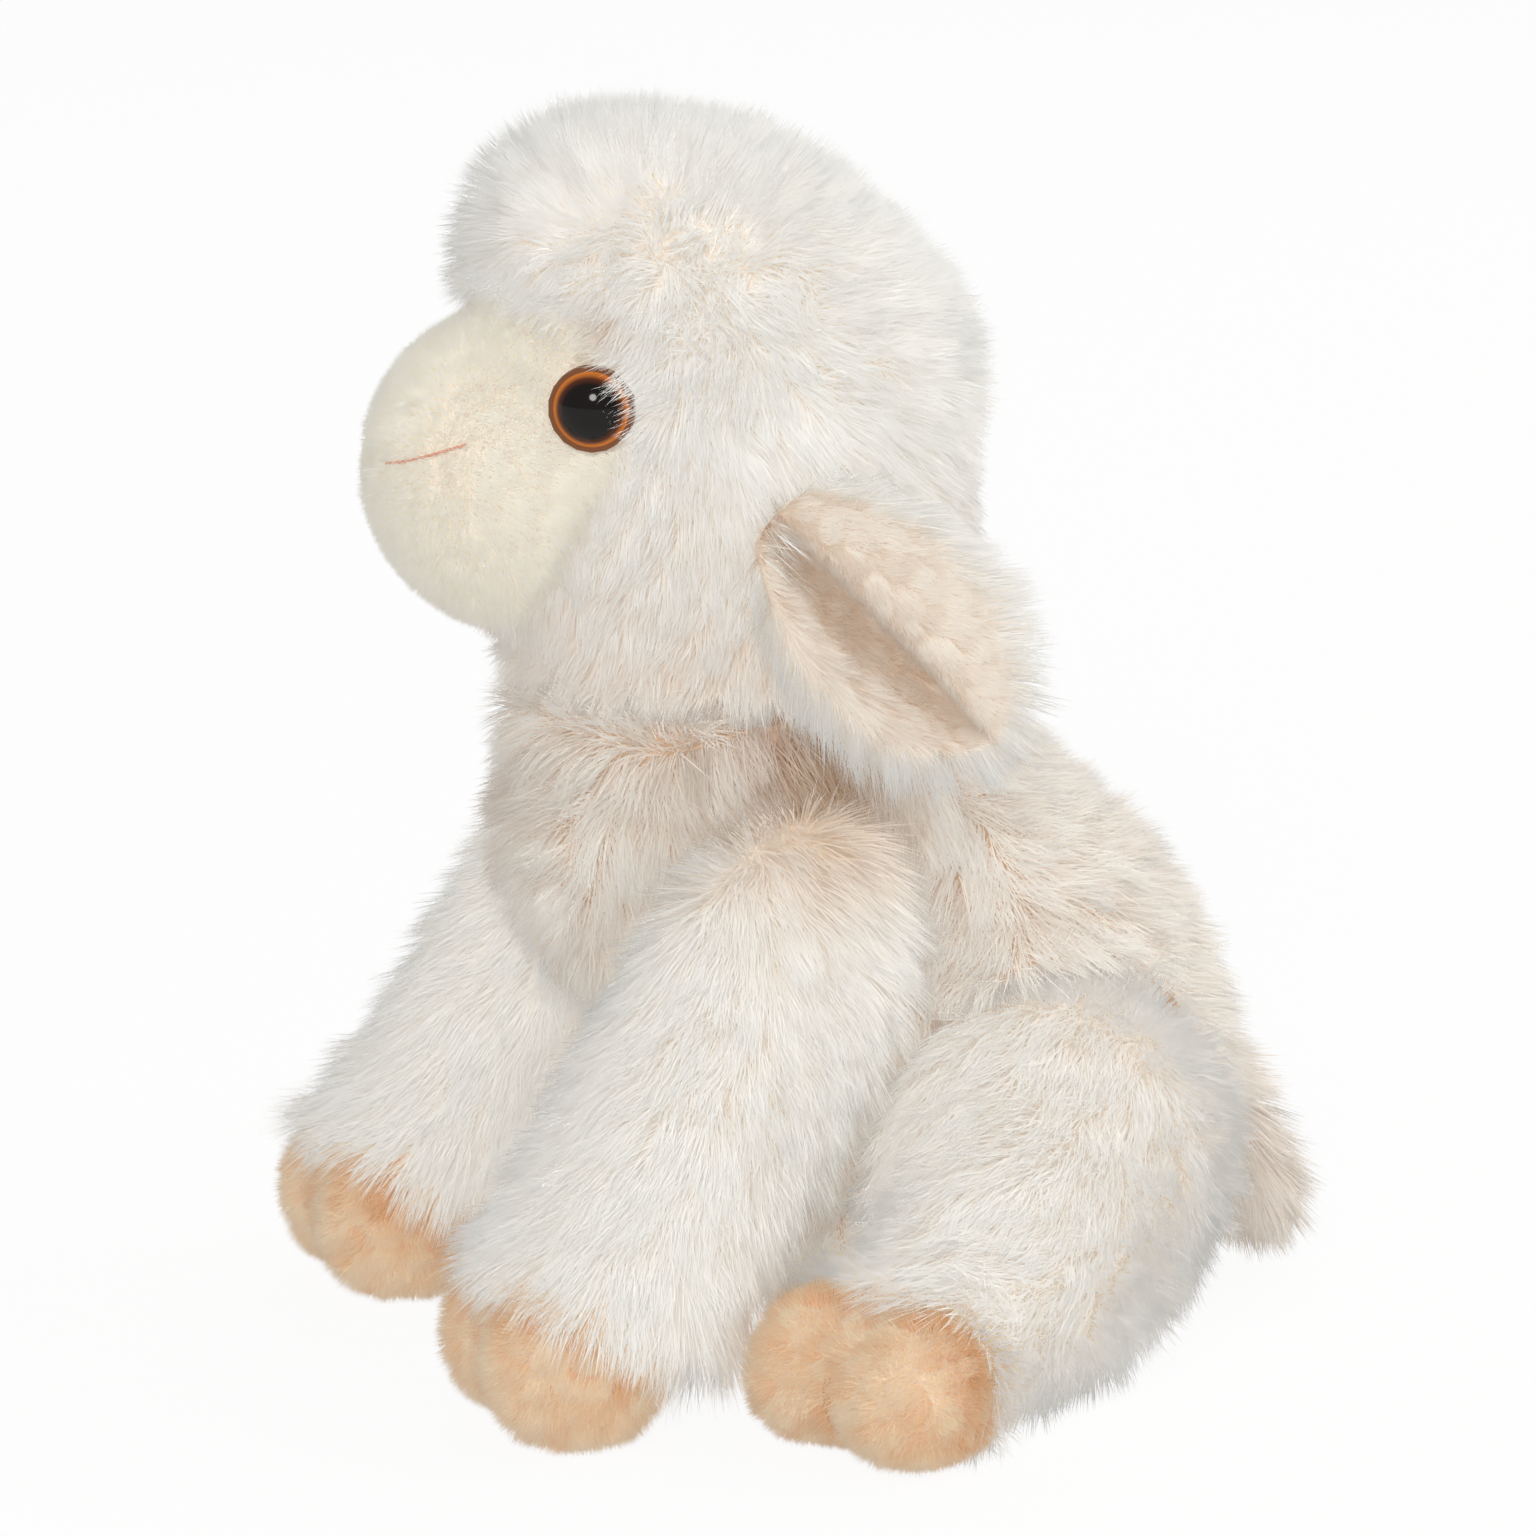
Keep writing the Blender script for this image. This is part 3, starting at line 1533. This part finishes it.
@dataclass
class Ear(Plush):
    """A drooping ear: long pile behind, a short-napped lining in front, its rear edge rolled over."""

    side: Side
    seed: int = 70
    nap_seed: int = 80
    root: Place = (-55, -46.5, 158)
    tip: Place = (-21, -61.5, 120)
    across: Place = (0.736, 0.365, 0.571)
    places: tuple[float, ...] = (0.0, 0.06, 0.16, 0.3, 0.45, 0.6, 0.75, 0.87, 0.95, 1.0)
    widths: tuple[float, ...] = (8.0, 11.0, 15.5, 20.0, 22.0, 21.5, 18.5, 14.0, 9.0, 3.5)
    rolls: tuple[float, ...] = (0.5, 0.75, 0.95, 1.0, 1.0, 0.9, 0.75, 0.55, 0.35, 0.15)
    front: tuple[tuple[float, float], ...] = (
        (-0.8, 2.0), (-0.62, 0.6), (-0.4, -1.4), (-0.18, -3.2), (0.02, -4.8), (0.15, -4.6),
        (0.16, -1.2), (0.03, 2.4), (-0.01, 5.2), (0.12, 7.6), (0.36, 8.2), (0.58, 6.4),
    )
    behind: tuple[tuple[float, float], ...] = (
        (0.8, 3.6), (0.95, -0.5), (0.85, -4.0), (0.5, -6.4), (0.15, -7.2), (-0.15, -6.6),
        (-0.45, -4.4), (-0.74, -1.2),
    )
    pile: float = 9.0
    nap: float = 2.4
    fringe: float = 4
    rim: float = 5
    spread: float = 18.0

    def __post_init__(self) -> None:
        """Names the ear and sets its three directions: down, across and out."""
        self.name = self.body = f"ear_{self.side.title}"
        self.mirror = np.array((1, -self.side.value, 1))
        self.start, self.run = np.array(self.root), np.array(self.tip) - np.array(self.root)
        self.down = self.run / norm(self.run)
        beside = np.array(self.across) - self.down * (np.array(self.across) @ self.down)
        self.beside = beside / norm(beside)
        self.out = np.cross(self.down, self.beside)

    def lay(self) -> None:
        """Lofts the backing through its rings and combs both faces."""
        held = self.backing = Backing.fresh(self._leaf())
        values = np.zeros(len(held.mesh.vertices), np.float32)
        held.mesh.attributes["lining"].data.foreach_get("value", values)
        facing = self.facing = smooth(values, 0.35, 0.65)
        points = held.points
        if (held.normals * (points - points.mean(0))).sum() < 0:
            held.mesh.flip_normals()
        off = points * self.mirror - self.start
        edge, along, depth = off @ self.beside / self.spread, off @ self.down, off @ self.out
        way = (self.down[None] + self.beside[None] * np.clip(edge, -1, 1)[:, None] * 0.7) * self.mirror
        fringe = smooth(-edge, 0.3, 0.8) * (1 - facing)
        rim = smooth(-edge, 0.35, 0.9) * facing
        crease = smooth(-depth, -1.0, 3.0) * facing
        leaf = smooth(-edge, -0.2, 0.05) * facing
        held.comb = way * (0.8 - 0.25 * facing)[:, None]
        held.pile = self.pile * (1 - facing) + self.nap * facing
        held.pile += self.fringe * fringe + self.rim * rim
        held.tone = 0.06 * (1 - facing) + facing * (0.15 + 0.25 * leaf + 0.5 * crease)
        held.tone += 0.4 * smooth(-along, -8, 2) * facing - 0.15 * rim

    def _leaf(self) -> Mesh:
        """The ear's closed form, with one on its lining and zero on its back.

        Returns:
            The mesh.
        """
        ring = self.front + self.behind
        count, rows = len(ring), len(self.places)
        points = [
            self.start + self.run * place + self.beside * s * width + self.out * n * roll
            for place, width, roll in zip(self.places, self.widths, self.rolls)
            for s, n in ring
        ]
        faces = between(rows, count)
        faces += [tuple(reversed(range(count))), tuple((rows - 1) * count + k for k in range(count))]
        if self.side is Side.LEFT:
            faces = [tuple(reversed(f)) for f in faces]
        made = placed("leaf", mesh_of("leaf", np.array(points) * self.mirror * MM, faces))
        lining = [1.0] * len(self.front) + [0.0] * len(self.behind)
        made.data.attributes.new("lining", "FLOAT", "POINT").data.foreach_set("value", lining * rows)
        turned = made.modifiers.new("smooth", "SUBSURF")
        turned.levels = turned.render_levels = 2
        return evaluated(made)

    def grow(self, pile: Pile) -> None:
        """Grows the long pile behind and the nap in front.

        Args:
            pile: the tree that grows it.
        """
        side = self.side
        self.skin(LINING_BACKING, fill=0.3)
        pile.grown(
            self, f"ear_pile_{side.title}", WOOL, self.seed + side.value, 1 - self.facing,
            nodes=(f"ear_back_{side.title}",), Density=5.5e6, Width=0.23 * MM, Rise=0.5, Pull=0.3, Lean=1.4,
        )
        pile.grown(
            self, f"ear_nap_{side.title}", LINING, self.nap_seed + side.value, self.facing, Strand.NAP,
            (f"ear_lining_{side.title}",), Density=19e6, Width=0.15 * MM, Rise=0.6, Jitter=0.3, Pull=0.2,
            Swirl=0.25, Mottle=0.5,
        )


@dataclass
class Eye:
    """A safety eye: a clear dome over its painted ring and pupil."""

    side: Side
    centre: Place = EYE_CENTRE
    radius: float = EYE_RADIUS
    turn: float = 30.0
    height: float = 4.9
    sunk: float = 0.6
    rings: int = 12
    spokes: int = 48

    def build(self) -> None:
        """Makes the dome, closed behind, and paints it."""
        lean = math.radians(self.turn)
        axis = Vector((-math.sin(lean), self.side.value * math.cos(lean), 0))
        centre = Vector(self.centre) * MM
        centre.y *= self.side.value
        up = Vector((0, 0, 1))
        beside = axis.cross(up)
        bend = (self.radius**2 + self.height**2) / (2 * self.height)
        points: list[Vector] = []
        for r in range(self.rings):
            reach = self.radius * math.sin(math.pi / 2 * (1 - r / self.rings))
            lift = self.height - bend + math.sqrt(bend**2 - reach**2)
            for k in range(self.spokes):
                a = 2 * math.pi * k / self.spokes
                points.append(centre + (axis * lift + (beside * math.cos(a) + up * math.sin(a)) * reach) * MM)
        top, last, n = len(points), (self.rings - 1) * self.spokes, self.spokes
        points += [centre + axis * self.height * MM, centre - axis * self.sunk * MM]
        faces = between(self.rings, n)
        faces += [(last + k, last + (k + 1) % n, top) for k in range(n)]
        faces += [((k + 1) % n, k, top + 1) for k in range(n)]
        mesh = mesh_of("dome", points, faces)
        made = placed(f"eye_dome_painted_{self.side.title}", rounded(mesh))
        if sum(f.normal.dot(f.center - centre) for f in mesh.polygons) < 0:
            mesh.flip_normals()
        finish = EyeFinish()
        mesh.materials.append(finish.material(centre, axis, self.side))
        hold(made, finish, "head", (f"eye_dome_{self.side.title}",))


@dataclass
class Mouth:
    """A shallow smile sewn through the face's pile."""

    head: Head
    width: float = 37.0
    rise: float = 5.0
    height: float = 163.4
    lift: float = 0.9
    steps: int = 60
    groove: float = 2.2
    press: float = 0.4
    tone: float = 0.15

    def line(self) -> Array:
        """The mouth's line on the face's backing.

        Returns:
            Points along it, in millimetres.
        """
        tree = tree_of(self.head.backing.mesh)
        points = []
        for y in np.linspace(-self.width / 2, self.width / 2, self.steps):
            z = self.height + self.rise * (2 * y / self.width) ** 2
            place, normal, _, _ = tree.ray_cast(Vector((-200, y, z)), Vector((1, 0, 0)))
            out = abs(2 * y / self.width)
            points.append(tuple(place + normal * self.lift * (0.5 + 0.5 * out)))
        return np.array(points)

    def build(self) -> None:
        """Parts the pile along the thread and sews it."""
        backing, line = self.head.backing, self.line()
        points = backing.points
        away = np.min(norm(points[:, None] - line[None], axis=2), axis=1)
        near = np.exp(-((away / self.groove) ** 2)) * (0.55 + 0.45 * smooth(np.abs(points[:, 1]), 4, 10))
        backing.pile *= 1 - self.press * near
        backing.tone += self.tone * near
        made = Stitches().sewn("mouth_thread", line, MOUTH_THREAD)
        hold(made, MOUTH_THREAD, "head", ("mouth_stitch",))


@dataclass
class Fillings:
    """What lies inside, as the frame has it."""

    finishes: tuple[tuple[str, PlainFinish], ...] = (
        ("stuffing", STUFFING), ("wadding", STUFFING), ("pouch", POUCH),
        ("washer", WASHER), ("eye_back", IRIS),
    )

    def build(self) -> None:
        """Gives each CAD node that still shows its finish."""
        for name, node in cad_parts.items():
            for word, finish in self.finishes:
                if word in name:
                    node.data.materials.clear()
                    node.data.materials.append(material_of(finish))
                    log.info("%s: %s", name, finish.name)


@dataclass
class Studio:
    """The pale floor, the soft lights and the camera."""

    target: Place = (-0.038, 0.0, 0.1027)
    azimuth: float = -21.0
    elevation: float = 13.0
    distance: float = 1.3
    lens: float = 170.6
    sensor: float = 36.0
    floor_half: float = 6.0
    floor_glow: float = 0.93
    world_glow: float = 0.52
    world_colour: tuple[float, ...] = (1, 0.99, 0.975, 1)
    lamp_colour: Place = (1.0, 0.98, 0.95)
    lamps: tuple[tuple[str, Place, float, float], ...] = (
        ("key", (-0.96, -1.68, 1.14), 0.6, 17.2),
        ("side", (1.6, -0.8, 1.0), 1.8, 16),
        ("back", (0.9, 1.3, 1.5), 1.4, 8),
    )

    def build(self) -> None:
        """Builds the camera first, then the floor and lights."""
        a, e = math.radians(self.azimuth), math.radians(self.elevation)
        away = Vector((math.sin(a) * math.cos(e), -math.cos(a) * math.cos(e), math.sin(e)))
        camera = bpy.data.cameras.new("camera")
        camera.lens, camera.sensor_width = self.lens, self.sensor
        scene = bpy.context.scene
        target = Vector(self.target)
        scene.camera = self._aimed(placed("camera", camera), target + away * self.distance, -away)
        scene.view_settings.view_transform = "Standard"
        self._floor()
        self._world()
        for name, place, size, power in self.lamps:
            lamp = bpy.data.lights.new(name, "AREA")
            lamp.shape, lamp.size, lamp.energy, lamp.color = "DISK", size, power, self.lamp_colour
            self._aimed(placed(name, lamp), Vector(place), target - Vector(place))

    @staticmethod
    def _aimed(made: Object, place: Vector, way: Vector) -> Object:
        """Puts a camera or lamp in its place and turns it.

        Args:
            made: the camera or lamp.
            place: its place.
            way: the way that it looks.

        Returns:
            The same object.
        """
        made.location = place
        made.rotation_euler = way.to_track_quat("-Z", "Y").to_euler()
        return made

    def _floor(self) -> None:
        """Lays the white floor, which keeps a faint shadow."""
        half = self.floor_half
        corners = [(-half, -half, 0), (half, -half, 0), (half, half, 0), (-half, half, 0)]
        made = placed("floor", mesh_of("floor", corners, [(0, 1, 2, 3)]))
        material = bpy.data.materials.new("floor")
        bench = self._cleared(material)
        plain = bench.take("ShaderNodeBsdfDiffuse", "BSDF", {"Color": (0.9, 0.9, 0.9, 1)})
        bright = bench.take("ShaderNodeEmission", "Emission", {"Color": WHITE, "Strength": 1.0})
        path = bench.node("ShaderNodeLightPath")
        seen = bench.output(path, "Is Camera Ray") + bench.output(path, "Is Glossy Ray")
        mix = bench.node("ShaderNodeMixShader", {0: seen * self.floor_glow, 1: plain, 2: bright})
        bench.node("ShaderNodeOutputMaterial", {"Surface": Sum(bench, mix.outputs[0])})
        made.data.materials.append(material)

    def _world(self) -> None:
        """Lights all round with plain white."""
        world = bpy.data.worlds.new("studio")
        bench = self._cleared(world)
        seen = bench.take("ShaderNodeLightPath", "Is Camera Ray")
        light, shown = (
            bench.take("ShaderNodeBackground", "Background", {"Color": colour, "Strength": strength})
            for colour, strength in ((self.world_colour, self.world_glow), (WHITE, 1.0))
        )
        mix = bench.node("ShaderNodeMixShader", {0: seen, 1: light, 2: shown})
        bench.node("ShaderNodeOutputWorld", {"Surface": Sum(bench, mix.outputs[0])})
        bpy.context.scene.world = world

    @staticmethod
    def _cleared(owner: Material | World) -> Bench:
        """Empties an owner's tree.

        Args:
            owner: a material or world.

        Returns:
            The bench on its tree.
        """
        owner.use_nodes = True
        owner.node_tree.nodes.clear()
        return Bench(owner.node_tree)


def main() -> None:
    """Builds the lamb's looks in order."""
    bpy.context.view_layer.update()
    Studio().build()
    torso, head, tail = Torso(), Head(), Tail()
    fore, hind, ears = ([kind(side=side) for side in Side] for kind in (FrontLeg, HindLeg, Ear))
    parts: list[Plush] = [torso, head, tail, *fore, *hind, *ears]
    for part in parts:
        part.lay()
        log.info("%s backing: %d points", part.name, len(part.backing.mesh.vertices))
    for one, other in [(torso, head), (torso, tail), *((torso, leg) for leg in hind)]:
        one.backing.meets(other.backing)
        other.backing.meets(one.backing)
    for leg in fore:
        torso.backing.meets(leg.backing, shade=0.15, reach=5, press=0.0)
        leg.backing.meets(torso.backing, shade=0.1, reach=4, press=0.0)
    for ear in ears:
        head.backing.meets(ear.backing, shade=0.3, reach=4)
        ear.backing.meets(head.backing, shade=0.2, reach=3)
    Mouth(head).build()
    pile = Pile()
    for part in parts:
        part.grow(pile)
    for side in Side:
        Eye(side=side).build()
    Fillings().build()
    pile.clear()


if __name__ == "__main__":
    main()
